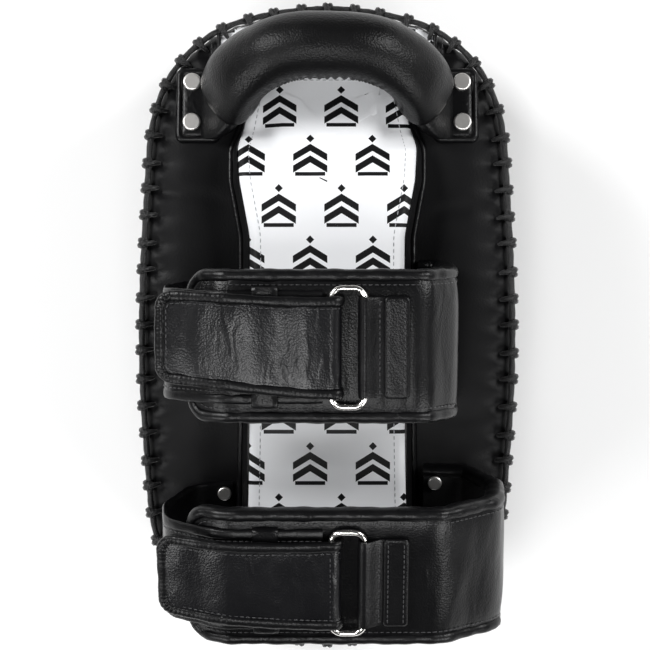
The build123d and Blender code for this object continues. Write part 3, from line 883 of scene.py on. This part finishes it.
def rimPoint(index, inset, lift):
    # a place at the rim, by station number with fractions, in from the edge and over the back
    index = np.asarray(index, float) % len(rim)
    low = np.floor(index).astype(int) % len(rim)
    high = (low + 1) % len(rim)
    f = (index - np.floor(index))[..., None]
    inward = rimIn[low] * (1 - f) + rimIn[high] * f
    flat = rim[low] * (1 - f) + rim[high] * f + inward * np.asarray(inset)[..., None]
    return np.concatenate([flat, (backZ(flat[..., 1]) + lift)[..., None]], axis=-1)


def buildLacing():
    turns = block["stitches"]
    step = len(rim) / turns
    index = np.arange(turns * 12) / 12 * step
    phase = np.arange(turns * 12) / 12 % 1
    near = np.minimum(phase, 1 - phase)
    bow = np.sin(math.pi * phase) ** 1.4
    inset = -(lacing["out"] + lacing["bow"] * bow - 0.5 * np.exp(-((near / 0.08) ** 2))) * mm
    lift = (-0.9 + 0.7 * bow + 0.25 * np.sin(index * 1.7)) * mm
    path = rimPoint(index, inset, lift)
    thick = (lacing["cord"] + 0.12 * np.sin(index * 0.9) - 0.15 * bow) * mm
    cord = tube("laceCord", path, thick, around=10, closed=True)
    hitches = []
    for k in range(turns):
        jitter = 0.35 * math.sin(k * 2.3) + 0.2 * math.sin(k * 5.1)
        at = k * step + jitter
        slant = step * 0.125
        for word, spots, girths in windings:
            ring = [rimPoint(at + slant * a, np.array(-out * mm), lift * mm) for a, out, lift in spots]
            hitches.append(tube(f"{word}{k}", np.array(ring), np.array(girths) * mm, around=7))
    return cord, joinPieces("laceHitches", hitches)


laceCord, laceHitches = buildLacing()
dress(laceCord, laceCordFinish, stands=("edge_lacing",))
dress(laceHitches, laceCordFinish)

# piping beside the two printed bands and round the strike face's edge
def backSeam(name, points):
    line = np.array(points) * mm
    path = np.stack([line[:, 0], line[:, 1], backZ(line[:, 1]) - 0.2 * mm], axis=1)
    return tube(name, path, 1.25 * mm, around=10)


for word, near, far in (("upper", 120.0, 168.0), ("lower", -150.0, -168.0)):
    seams, rows = [], []
    for side in (-1, 1):
        y = np.linspace(near, far, 24)
        seams.append(backSeam("seam", np.stack([np.full(24, side * 62.6), y], axis=1)))
        path = np.stack([np.full(24, side * 66.8 * mm), y * mm, backZ(y * mm) + 0.35 * mm], axis=1)
        rows.append(stitchRow("row", path, np.tile([0, 0, 1.0], (24, 1))))
    x = np.linspace(-62.6, 62.6, 30)
    seams.append(backSeam("seam", np.stack([x, np.full(30, near + math.copysign(2.2, near))], axis=1)))
    dress(joinPieces("bandPiping_" + word, seams), bindingLeather)
    dress(joinPieces("bandStitch_" + word, rows), blackThreadPaintedSheen)
strikeSeam = rim + rimIn * 0.3 * mm
strikeZ = bend["centreZ"] + np.sqrt(bend["strike"] ** 2 - rim[:, 1] ** 2) + 6.8 * mm
strikePath = np.concatenate([strikeSeam, strikeZ[:, None]], axis=1)[::2]
strikePiping = tube("strikePiping", strikePath, 1.25 * mm, around=8, closed=True)
dress(strikePiping, bindingLeather)
onceRound = np.arange(len(rim) + 1) % len(rim)
wallSeam = np.concatenate([rim - rimIn * 1.7 * mm, strikeZ[:, None] + 7.5 * mm], axis=1)[onceRound]
wallOut = np.concatenate([-rimIn, np.zeros((len(rim), 1))], axis=1)[onceRound]
wallStitch = stitchRow("wallStitch", wallSeam, wallOut, pitch=4.2 * mm, length=3.0 * mm, thick=0.4 * mm)
dress(wallStitch, blackThreadPaintedSheen)
print("lacing and piping ready")


# arm straps

straps = {
    "upper": {
        "y": -4.0, "lean": 4.2, "frontTilt": -4.582, "front": (-11.589, 216.583),
        "cuffHand": [(52, -0.8), (69, 1), (71, 40), (69, 74), (52, 95), (-55, 95), (-76, 80)],
        "cuffElbow": [(52, -0.8), (69, 1), (71, 40), (69, 74), (52, 95), (-55, 95), (-76, 80)],
        "cuffBends": [13, 70, 18, 16, 24],
        "strapHand": [(-2.5, 97.6), (-58, 97.6), (-88, 74), (-89, 44), (-74, 3), (-50.5, -0.8)],
        "strapElbow": [(-2.5, 97.6), (-58, 97.6), (-88, 74), (-89, 44), (-74, 3), (-50.5, -0.8)],
        "strapBends": [26, 20, 40, 20], "seed": 1.0, "swing": 5.5,
    },
    "lower": {
        "y": -119.0, "lean": 0.0, "frontTilt": -25.146, "front": (-136.255, 195.252),
        "cuffHand": [(55, -0.8), (82, 2), (98, 36), (95, 70), (62, 97), (-56, 97), (-77, 82)],
        "cuffElbow": [(55, -0.8), (82, 2), (98, 30), (95, 52), (62, 77), (-56, 77), (-77, 62)],
        "cuffBends": [16, 26, 16, 20, 24],
        "strapHand": [(-2.5, 99.6), (-59, 99.6), (-89, 76), (-91, 44), (-78, 4), (-53.5, -0.8)],
        "strapElbow": [(-2.5, 79.6), (-59, 79.6), (-89, 56), (-91, 34), (-78, 4), (-53.5, -0.8)],
        "strapBends": [26, 20, 36, 20], "seed": 5.0, "swing": 3.0,
    },
}
cuffShape = {
    "half": 41.0, "panel": 37.2, "corner": 13.0, "roll": 3.6, "rollThick": 5.3, "crown": 1.2,
    "padding": 5.2, "lining": 3.6
}
strapShape = {"half": 30.0, "edge": 2.7}
flapShape = {
    "ringHalf": 27.6, "tipHalf": 24.6, "corner": 10.0, "roll": 2.9, "rollThick": 2.25, "tip": -91.0,
    "hang": 13.0
}


def alongRows(at, steps, rows):
    # rows of two columns, read between their steps
    return np.stack([np.interp(at, steps, rows[:, i]) for i in (0, 1)], axis=-1)


def loopSurface(strap, hand, elbow, bends):
    # a strap's own surface: s along it, t across it, d out from it, all in mm
    origin, out, along = crossFrame(strap["y"], -strap["lean"])
    count = 500
    paths = [roundedPath(points, bends, count) for points in (hand, elbow)]
    length = np.mean([walked(path)[-1] for path in paths])
    turns = []
    for path in paths:
        ahead = unit(np.gradient(path, axis=0))
        turns.append(np.stack([ahead[:, 1], -ahead[:, 0]], axis=1))

    def place(s, t, d):
        s, t, d = np.broadcast_arrays(np.asarray(s, float), np.asarray(t, float), np.asarray(d, float))
        at = s / length * (count - 1)
        mix = ((41 - t) / 82)[..., None]
        spot, face = 0, 0
        for share, path, turn in ((1 - mix, paths[0], turns[0]), (mix, paths[1], turns[1])):
            spot = spot + share * alongRows(at, np.arange(count), path)
            face = face + share * alongRows(at, np.arange(count), turn)
        spot = spot + unit(face) * d[..., None]
        slant = origin + along * (t * mm)[..., None]
        settle = (backZ(slant[..., 1]) - slant[..., 2]) / mm * (1 - smoothStep(spot[..., 1], 6, 42))
        height = spot[..., 1] + settle
        return slant + (spot[..., 0] * mm)[..., None] * rightward + (height * mm)[..., None] * out

    return place, length


def slabAlong(name, place, s, halfWidth, top, bottom, across, smooth=60):
    # a padded strip: rows along s; each row runs across the top and back underneath
    halfWidth = np.broadcast_to(halfWidth, s.shape)
    rows = []
    u = np.sin(np.linspace(-1, 1, across) * math.pi / 2)
    for k in range(len(s)):
        t = u * halfWidth[k]
        over = place(s[k], t, top(s[k], u))
        under = place(s[k], t[::-1], bottom(s[k], u[::-1]))
        rows.append(np.concatenate([over, under]))
    return loftLoops(name, rows, smooth=smooth)


def edgeRoll(name, place, route, halfWide, halfThick, depth, around, seed, ribs):
    # a rolled leather edge following a route of (s, t) points
    route = np.asarray(route, float)
    centre = place(route[:, 0], route[:, 1], depth)
    face = unit(place(route[:, 0], route[:, 1], depth + 0.5) - place(route[:, 0], route[:, 1], depth - 0.5))
    side = unit(np.cross(unit(np.gradient(centre, axis=0)), face))
    steps = walked(centre) / mm
    angle = aroundOnce(around)
    wide = np.sign(np.cos(angle)) * np.abs(np.cos(angle)) ** 0.8
    tall = np.sign(np.sin(angle)) * np.abs(np.sin(angle)) ** 0.8
    heading = np.unwrap(np.arctan2(*np.gradient(route, axis=0).T))
    turning = np.gradient(heading, axis=0) / np.maximum(np.gradient(steps), 1e-6)
    loops = []
    for k in range(len(route)):
        corner = min(1.0, abs(turning[k]) * 14)
        swell = 1 + 0.05 * math.sin(steps[k] * 0.21 + seed) + 0.04 * math.sin(steps[k] * 0.53 + 2 * seed)
        rib = (ribs * (0.35 + corner)) * math.sin(steps[k] * 2.6 + 0.8 * math.sin(steps[k] * 0.31))
        section = side[k] * (wide * halfWide * swell)[:, None]
        section = section + face[k] * (tall * (halfThick * swell + rib))[:, None]
        loops.append(centre[k] + section * mm)
    return loftLoops(name, loops, smooth=75)


def eased(start, turn, count, end, more):
    # even steps up to the turn, then ever shorter ones to the end
    return np.concatenate([
        np.linspace(start, turn, count),
        end - (end - turn) * (1 - np.sin(np.linspace(0.1, 1, more) * math.pi / 2)),
    ])


def tongueRoute(length, half, corner, foot=0.0, count=260):
    # out along the elbow edge, round the free end, back along the hand edge
    points = [(foot, -half), (length, -half), (length, half), (foot, half)]
    return roundedPath(points, [corner, corner], count)


def roundedHalf(s, length, half, corner):
    # half width of a strip whose free end at s = length has rounded corners
    left = np.clip((corner - (length - s)) / corner, 0, 1)
    return half - corner + corner * np.sqrt(np.maximum(1 - left**2, 0.0))


def stitchOnSurface(name, place, route, depth, pitch=3.2, long=2.3, thick=0.34):
    route = np.asarray(route, float)
    line = place(route[:, 0], route[:, 1], depth)
    face = place(route[:, 0], route[:, 1], depth + 0.5) - place(route[:, 0], route[:, 1], depth - 0.5)
    return stitchRow(name, line, face, pitch * mm, long * mm, thick * mm)


def buildCuff(key, strap):
    place, length = loopSurface(strap, strap["cuffHand"], strap["cuffElbow"], strap["cuffBends"])
    shape, seed = cuffShape, strap["seed"]
    panelEnd = length - 4.0
    s = eased(0.6, panelEnd - 12, 150, panelEnd, 14)
    width = roundedHalf(s, panelEnd + 0.4, shape["panel"], shape["corner"] - 3)

    def ripple(at, u):
        t = u * shape["panel"]
        slow = [noise.noise(Vector((at * 0.055 + seed, v * 0.022, 0.0))) for v in t]
        quick = [noise.noise(Vector((at * 0.16, v * 0.05, seed))) for v in t]
        return np.array(slow) + 0.4 * np.array(quick)

    def top(at, u):
        return shape["crown"] * (1 - u**4) - 1.4 * np.abs(u) ** 10 + 0.55 * ripple(at, u) - 0.2

    def mid(at, u):
        return -shape["padding"]

    def below(at, u):
        return -shape["padding"] - 0.15

    def inner(at, u):
        return -9.1 - 0.5 * (1 - u**2) + 0.9 * np.abs(u) ** 6

    panel = slabAlong("cuffPanel_" + key, place, s, width, top, mid, across=20)
    lining = slabAlong("cuffLining_" + key, place, s, width, below, inner, across=14)
    route = tongueRoute(length - shape["roll"], shape["half"] - shape["roll"], shape["corner"] - 3, 0.4)
    binding = edgeRoll(
        "cuffBinding_" + key, place, route, shape["roll"], shape["rollThick"], -4.55, 16, seed, 0.30
    )
    seam = tongueRoute(
        length - shape["roll"] * 2 - 1.0, shape["half"] - shape["roll"] * 2 - 1.0, shape["corner"] - 5, 3.0
    )
    thread = stitchOnSurface("cuffStitch_" + key, place, seam, 0.12)
    dress(panel, strapLeather, stands=("cuff_" + key,))
    dress(lining, liningLeather, stands=("cuff_lining_" + key,))
    dress(binding, bindingLeather, stands=("cuff_binding_" + key,))
    dress(thread, blackThreadPaintedSheen)
    return place, length


def buildStrap(key, strap):
    place, length = loopSurface(strap, strap["strapHand"], strap["strapElbow"], strap["strapBends"])
    half = strapShape["half"]
    s = np.linspace(0.0, length - 0.6, 150)

    def top(at, u):
        return -0.35 + 0.45 * (1 - u**4) + 0.18 * math.sin(at * 0.3)

    def bottom(at, u):
        return -2.0

    band = slabAlong("strapBand_" + key, place, s, half - 3.2, top, bottom, across=14)
    rolls = []
    for t in (-half + strapShape["edge"], half - strapShape["edge"]):
        route = np.stack([s, np.full(len(s), t)], axis=1)
        rolls.append(
            edgeRoll(f"edge{t}", place, route, strapShape["edge"], 1.25, -0.95, 12, strap["seed"] + t, 0.06)
        )
    edges = joinPieces("strapBinding_" + key, rolls)
    threads = []
    for t in (-half + 6.6, half - 6.6):
        route = np.stack([s, np.full(len(s), t)], axis=1)
        threads.append(stitchOnSurface(f"row{t}", place, route, 0.0))
    thread = joinPieces("strapStitch_" + key, threads)
    dress(band, strapLeather, stands=("strap_" + key,))
    dress(edges, bindingLeather)
    dress(thread, blackThreadPaintedSheen)


def frontPlace(strap):
    # the flat front of a strap: x across the pad, t along it, n out from it, in mm
    a = math.radians(strap["frontTilt"])
    out, along = np.array([0, math.sin(a), math.cos(a)]), np.array([0, math.cos(a), -math.sin(a)])
    origin = np.array([0, strap["front"][0] * mm, strap["front"][1] * mm])

    def place(x, t, n):
        x, t, n = np.broadcast_arrays(np.asarray(x, float), np.asarray(t, float), np.asarray(n, float))
        x, t, n = [(value * mm)[..., None] for value in (x, t, n)]
        return origin + x * rightward + t * along + n * out

    return place


def sheetPlace(strap, line, shift=None):
    # a sheet whose middle follows a line of (x, n) points over the front
    front = frontPlace(strap)
    line = np.asarray(line, float)
    steps = walked(line)
    ahead = unit(np.gradient(line, axis=0))
    face = np.stack([ahead[:, 1], -ahead[:, 0]], axis=1)

    def place(s, t, d):
        s, t, d = np.broadcast_arrays(np.asarray(s, float), np.asarray(t, float), np.asarray(d, float))
        spot = alongRows(s, steps, line) + unit(alongRows(s, steps, face)) * d[..., None]
        if shift is not None:
            t = t + shift(spot[..., 0])
        return front(spot[..., 0], t, spot[..., 1])

    return place, steps[-1]


def buildFlap(key, strap):
    # folded round its ring's bar, then a long leaf that hangs toward its tip
    seed = strap["seed"]
    bar = np.array([2.1, 4.55])
    turn = np.linspace(math.radians(-115), math.radians(88), 26)
    reach = [4.4 if math.cos(a) > 0 else 2.95 for a in turn]
    wrap = [bar + np.array([r * math.cos(a), 2.95 * math.sin(a)]) for r, a in zip(reach, turn)]
    leg = []
    for x in np.linspace(-1.5, flapShape["tip"], 70):
        hang = flapShape["hang"] * float(smoothStep(-x, 46, 112))
        dip = 0.55 * math.exp(-(((x - 2) / 5.0) ** 2))
        leg.append((x, 8.05 - dip + 0.25 * math.sin(x * 0.07 + seed) - hang))
    place, length = sheetPlace(strap, wrap + leg, shift=lambda x: strap["swing"] * smoothStep(-x, 2, 92))
    ringHalf, tipHalf = flapShape["ringHalf"], flapShape["tipHalf"]

    def halfAt(s):
        return ringHalf + (tipHalf - ringHalf) * np.clip(np.asarray(s) / length, 0, 1)

    s = eased(0, length - 14, 110, length - 4.2, 12)
    turned = np.clip((6.5 - (length - 4.0 - s)) / 6.5, 0, 1)
    width = halfAt(s) - 4.2 - 6.5 * (1 - np.sqrt(1 - turned**2))

    def top(at, u):
        free = smoothStep(at, 6, 16)
        slow = [noise.noise(Vector((at * 0.06, v * 1.1, seed))) for v in u]
        quick = [noise.noise(Vector((at * 0.15, v * 2.1, seed + 4))) for v in u]
        wave = np.array(slow) + 0.5 * np.array(quick)
        swell = 0.45 * math.sin(at * 0.233 + seed + 0.5 * math.sin(at * 0.05))
        return 0.95 + free * (0.5 * (1 - u**4) + 0.26 * wave + swell)

    def bottom(at, u):
        return -0.95 - 0.5 * smoothStep(at, 8, 18)

    panel = slabAlong("flapPanel_" + key, place, s, width, top, bottom, across=22)
    inset = flapShape["roll"]
    corner = flapShape["corner"] - inset

    def leafRoute(start, inset, corner):
        # along one edge of the leaf, round its tip and back, set in from the edges
        wide, slim = ringHalf - inset, tipHalf - inset
        points = [(start, -wide), (length - inset, -slim), (length - inset, slim), (start, wide)]
        return roundedPath(points, [corner] * 2, 300)

    route = leafRoute(0.5, inset, corner)
    binding = edgeRoll(
        "flapBinding_" + key, place, route, inset, flapShape["rollThick"], 0.05, 14, strap["seed"], 0.32
    )
    seam = inset * 2 + 0.9
    thread = stitchOnSurface("seamA", place, leafRoute(9, seam, corner - 3.5), 1.35)
    cross = [(13.5, t) for t in np.linspace(-ringHalf + seam + 1, ringHalf - seam - 1, 30)]
    crossThread = stitchOnSurface("seamB", place, cross, 1.45)
    thread = joinPieces("flapStitch_" + key, [thread, crossThread])
    body = "flap_" + key
    dress(panel, flapLeather, body, stands=("flap_" + key,))
    dress(binding, bindingLeather, body, stands=("flap_binding_" + key,))
    dress(thread, blackThreadPaintedSheen, body)
    levels = ((2.5, -3.0), (0.4, -3.0), (0, -2.7), (0, -1.5), (2.5, -1.45))
    hooks = roundedPatch("hookPatch_" + key, (length - 83, length - 19, -20, 20), levels, place, 3.0, 96)
    dress(hooks, hookFinish, body, stands=("hook_patch_" + key,))
    levels = ((1.5, 2.45), (0.3, 2.45), (0, 2.9), (0, 4.1), (0.5, 4.5), (2.0, 4.55))
    fluff = roundedPatch("loopPatch_" + key, (-24, -4, -20, 20), levels, frontPlace(strap), 2.0, 60)
    dress(fluff, hookFinish, stands=("loop_patch_" + key,))


def buildRingTab(key, strap):
    bar = np.array([19.9, 4.55])
    turn = np.linspace(math.radians(-82), math.radians(-278), 24)
    low = [(x, 0.95 + 0.6 * math.exp(-((x - 20) / 3.0) ** 2)) for x in np.linspace(42.6, 21.5, 20)]
    wrap = [bar + 2.95 * np.array([math.cos(a), math.sin(a)]) for a in turn]
    high = [(x, 3.0 + 4.4 * math.exp(-(((x - 19.5) / 6.2) ** 2))) for x in np.linspace(21.2, 42.6, 40)]
    place, length = sheetPlace(strap, low + wrap + high)
    s = np.linspace(0, length, 120)

    def top(at, u):
        return 0.85 - 0.5 * np.abs(u) ** 12

    def bottom(at, u):
        return -0.85 + 0.3 * np.abs(u) ** 12

    sheet = slabAlong("ringTab_" + key, place, s, 26.6, bottom, top, across=16, smooth=50)
    front = frontPlace(strap)
    levels = ((1.5, 3.7), (0.2, 3.7), (0, 4.2), (0.15, 4.75), (0.7, 5.1), (1.6, 5.2), (3.0, 5.15))
    patch = roundedPatch("ringPatch_" + key, (30.0, 43.4, -27, 27), levels, front, 1.8, 72, smooth=50)
    outward = front(0, 0, 1) - front(0, 0, 0)
    threads = []
    for x, n in ((32.4, 5.15), (40.9, 5.15), (27.6, 4.62)):
        line = front(x, np.linspace(-25, 25, 30), n)
        threads.append(stitchRow(f"row{x}", line, np.tile(outward, (30, 1)), 3.1 * mm, 2.2 * mm, 0.36 * mm))
    for t in (-24.2, 24.2):
        line = front(np.linspace(24.5, 29.5, 6), t, np.array([5.8, 5.25, 4.8, 4.45, 4.2, 4.05]))
        threads.append(stitchRow(f"end{t}", line, np.tile(outward, (6, 1)), 2.6 * mm, 1.9 * mm, 0.34 * mm))
    dress(sheet, strapLeather, stands=("ring_tab_" + key,))
    dress(patch, strapLeather, stands=("ring_patch_" + key,))
    dress(joinPieces("ringStitch_" + key, threads), blackThreadPaintedSheen)
    rows = []
    for x, grow in ((-40, -0.35), (-39.6, 0.0), (-36, 0.12), (-30, 0.12), (-26.4, 0.0), (-26, -0.35)):
        ring = roundedRectangle(-32.4 - grow, 32.4 + grow, 0.1, 4.4 + grow, 1.6, 72)
        rows.append(front(x, ring[:, 0], ring[:, 1]))
    for x, grow in ((-26, 0.3), (-33, 0.3), (-40, 0.3)):
        ring = roundedRectangle(-31.6 + grow, 31.6 - grow, 0.35, 3.55, 1.2, 72)
        rows.append(front(x, ring[:, 0], ring[:, 1]))
    rows.append(rows[0])
    dress(
        loftLoops("keeper_" + key, rows, closeEnds=False, smooth=50), strapLeather,
        stands=("keeper_" + key,)
    )


for key, strap in straps.items():
    buildCuff(key, strap)
    buildStrap(key, strap)
    buildFlap(key, strap)
    buildRingTab(key, strap)
    print("strap ready", key)


# metal and foam of the frame

for name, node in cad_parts.items():
    finish = None
    if "rivet" in name:
        finish = rivetMetal
    elif name in ("ring_upper", "ring_lower"):
        finish = brightMetal
    elif name in ("strike_foam", "core_foam", "backing_foam", "grip_core", "arm_cushion_foam", "grip_foam"):
        finish = foamFinish
    if finish:
        node.data.materials.clear()
        node.data.materials.append(finish)


# floor, light and camera

def buildStage():
    deselectAll()
    bpy.ops.mesh.primitive_plane_add(size=4.4)
    floor = bpy.context.object
    floor.name = "floor"
    floor.data.materials.append(newMaterial("paleFloor", (0.92, 0.92, 0.92), 0.7)[0])
    world = bpy.data.worlds.new("studio")
    bpy.context.scene.world = world
    world.use_nodes = True
    sky = world.node_tree
    sky.nodes["Background"].inputs[0].default_value = (1, 1, 1, 1)
    # white behind the floor, dim as a light
    seen = sky.nodes.new("ShaderNodeLightPath").outputs["Is Camera Ray"]
    sky.links.new(calc(sky, "MULTIPLY_ADD", seen, 0.93, 0.07), sky.nodes["Background"].inputs[1])
    for name, place, size, power in (
        ("keyLight", (-1.4, 0.9, 1.4), 0.8, 33.0),
        ("fillLight", (1.5, 0.7, 1.3), 0.8, 25.0),
        ("topLight", (-0.24, -0.42, 1.9), 0.3, 5.0),
        ("crestLight", (0.0, -0.85, 1.8), 0.5, 7.0),
        ("lowLight", (1.3, -1.1, 1.2), 0.8, 16.0),
        ("sideLight", (-1.4, -1.0, 1.2), 0.8, 16.0),
    ):
        light = bpy.data.lights.new(name, "AREA")
        light.size, light.energy = size, power
        lamp = bpy.data.objects.new(name, light)
        bpy.context.collection.objects.link(lamp)
        aim = Vector((0, 0, 0.12)) - Vector(place)
        lamp.matrix_world = Matrix.Translation(place) @ aim.to_track_quat("-Z", "Y").to_matrix().to_4x4()


buildStage()
bpy.context.scene.view_settings.view_transform = "Standard"
lens = bpy.data.cameras.new("camera")
lens.lens, lens.sensor_width, lens.clip_start = 124.4, 36.0, 0.05
camera = bpy.data.objects.new("camera", lens)
bpy.context.collection.objects.link(camera)
camera.location = (-0.0012, 0.0, 1.40)
bpy.context.scene.camera = camera
